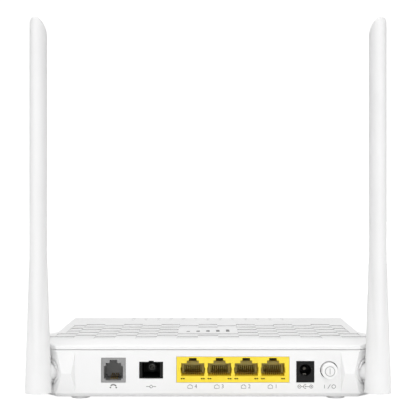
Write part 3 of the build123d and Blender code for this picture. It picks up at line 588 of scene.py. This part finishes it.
for name, (x, shapes) in symbols.items():
    strokes = []
    for points, width in shapes:
        strokes.append(addStroke([(x + a, legend["z"] + b) for a, b in points], width))
    if "port" in name:
        strokes.append(addFigure(name[-1], x + legend["figureShift"], legend["z"]))
    mark = joinAs(name, strokes)
    settle(mark, y=panelY)
    finishPiece(mark, "housing", padInk)


# grey laser mark at the bottom of the engraving on the button

buttonMark = {"ring": 2.475, "line": 0.42, "barHalf": 1.5, "engraved": 0.3, "axis": 15.35}
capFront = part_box("power_button_cap")[0].y


def makeLaserGrey():
    # laser-darkened ABS: matt pale grey
    mat, tree, shader = newMaterial("laserGrey", "B4B4B4", 0.7, IOR=1.5)
    place = addGrain(tree, shader, 0.15, 0.006, 0.3)
    addTint(tree, shader, place, 0.8, "ADADAD", "BBBBBB")
    return mat


ringAround = ringPoints(buttonX, buttonMark["axis"], buttonMark["ring"], steps=40)
barEnds = [(buttonX, buttonMark["axis"] + side * buttonMark["barHalf"]) for side in (-1, 1)]
engraved = [addStroke(points, buttonMark["line"]) for points in (ringAround, barEnds)]
engraving = joinAs("button_mark", engraved)
settle(engraving, y=capFront + buttonMark["engraved"] * mm)
finishPiece(engraving, "button", makeLaserGrey())


# a plain mark of rising bars on the cover, and a dash at each light

longest = coverMark["shortest"] + coverMark["step"] * (coverMark["bars"] - 1)
low = panelMm + coverMark["depth"] - longest / 2
bars = []
for index in range(coverMark["bars"]):
    x = (index - (coverMark["bars"] - 1) / 2) * coverMark["pitch"]
    length = coverMark["shortest"] + coverMark["step"] * index
    bars.append(addStroke([(x, low), (x, low + length)], coverMark["width"], flat=True))
y = panelMm + lightMark["depth"]
dashes = []
for index in range(lightMark["count"]):
    x = (index - (lightMark["count"] - 1) / 2) * lightMark["pitch"]
    dashes.append(addStroke([(x - lightMark["length"] / 2, y), (x + lightMark["length"] / 2, y)],
                            lightMark["width"], flat=True))
for name, strokes in (("cover_mark", bars), ("light_marks", dashes)):
    mark = joinAs(name, strokes)
    settle(mark, z=coverTop)
    finishPiece(mark, "housing", padInk)
print("printed marks made")


# floor, light and camera

studio = {"floorHalf": 6.0, "floorDrop": 0.02, "bounce": 0.9, "floorGlow": 1.2, "glowShare": 0.85,
          "backdrop": 1.1, "ambient": 0.05, "frontGain": 1.38, "frontStart": -0.7, "frontFull": -0.97,
          "topGain": 1.85, "topStart": 0.35, "topFull": 0.95, "cameraHeight": 100, "cameraDistance": 500,
          "lens": 82.9, "sensor": 36, "nearClip": 0.01}

bpy.ops.object.select_all(action="DESELECT")
bpy.ops.mesh.primitive_plane_add(size=2 * studio["floorHalf"], location=(0, 0, -studio["floorDrop"] * mm))
floor = bpy.context.object
floor.name = "floor"
floorMat, floorTree, floorShader = newMaterial("paleFloor", "FFFFFF", 0.9)
floorShader.inputs["Base Color"].default_value = (studio["bounce"], studio["bounce"], studio["bounce"], 1)
glow = addNode(floorTree, "ShaderNodeEmission",
               inputs={"Color": (1, 1, 1, 1), "Strength": studio["floorGlow"]})
rays = addNode(floorTree, "ShaderNodeLightPath")
share = addNode(floorTree, "ShaderNodeMath", settings={"operation": "MULTIPLY"},
                inputs={1: studio["glowShare"]}, links=[(0, rays, "Is Camera Ray")])
mixed = addNode(floorTree, "ShaderNodeMixShader",
                links=[(0, share, "Value"), (1, floorShader, "BSDF"), (2, glow, "Emission")])
floorTree.links.new(mixed.outputs["Shader"], floorTree.nodes["Material Output"].inputs["Surface"])
floor.data.materials.append(floorMat)

# soft light from in front and above, dim from the sides; the backdrop itself is seen white
world = bpy.data.worlds.new("studio")
bpy.context.scene.world = world
world.use_nodes = True
worldTree = world.node_tree
sky = worldTree.nodes["Background"]
sky.inputs["Color"].default_value = (1, 1, 1, 1)
direction = addNode(worldTree, "ShaderNodeTexCoord")
parts = addNode(worldTree, "ShaderNodeSeparateXYZ", links=[(0, direction, "Generated")])
fromFront = addNode(worldTree, "ShaderNodeMapRange",
                    inputs={"From Min": studio["frontStart"], "From Max": studio["frontFull"],
                            "To Min": 0.0, "To Max": studio["frontGain"]},
                    links=[("Value", parts, "Y")])
fromTop = addNode(worldTree, "ShaderNodeMapRange",
                  inputs={"From Min": studio["topStart"], "From Max": studio["topFull"],
                          "To Min": studio["ambient"], "To Max": studio["topGain"]},
                  links=[("Value", parts, "Z")])
total = addNode(worldTree, "ShaderNodeMath", settings={"operation": "ADD"},
                links=[(0, fromFront, "Result"), (1, fromTop, "Result")])
worldTree.links.new(total.outputs["Value"], sky.inputs["Strength"])
white = addNode(worldTree, "ShaderNodeBackground",
                inputs={"Color": (1, 1, 1, 1), "Strength": studio["backdrop"]})
seen = addNode(worldTree, "ShaderNodeLightPath")
pick = addNode(worldTree, "ShaderNodeMixShader",
               links=[(0, seen, "Is Camera Ray"), (1, sky, "Background"), (2, white, "Background")])
worldTree.links.new(pick.outputs["Shader"], worldTree.nodes["World Output"].inputs["Surface"])

softBoxes = {
    "leftBox": {"place": (-0.9, -0.9, 0.4), "aim": (0, 0, 0.05), "size": 0.3, "power": 0.9},
    "rightBox": {"place": (0.9, -0.9, 0.4), "aim": (0, 0, 0.05), "size": 0.3, "power": 0.9},
}
for name, box in softBoxes.items():
    bpy.ops.object.light_add(type="AREA", location=box["place"])
    lamp = bpy.context.object
    lamp.name = name
    lamp.data.size = box["size"]
    lamp.data.energy = box["power"]
    lamp.visible_camera = False
    aim = Vector(box["aim"]) - Vector(box["place"])
    lamp.rotation_euler = aim.to_track_quat("-Z", "Y").to_euler()

bpy.ops.object.camera_add(location=(0, panelY - studio["cameraDistance"] * mm, studio["cameraHeight"] * mm),
                          rotation=(math.radians(90), 0, 0))
camera = bpy.context.object
camera.data.lens = studio["lens"]
camera.data.sensor_width = studio["sensor"]
camera.data.clip_start = studio["nearClip"]
bpy.context.scene.camera = camera
bpy.context.scene.view_settings.view_transform = "Standard"
print("studio ready")
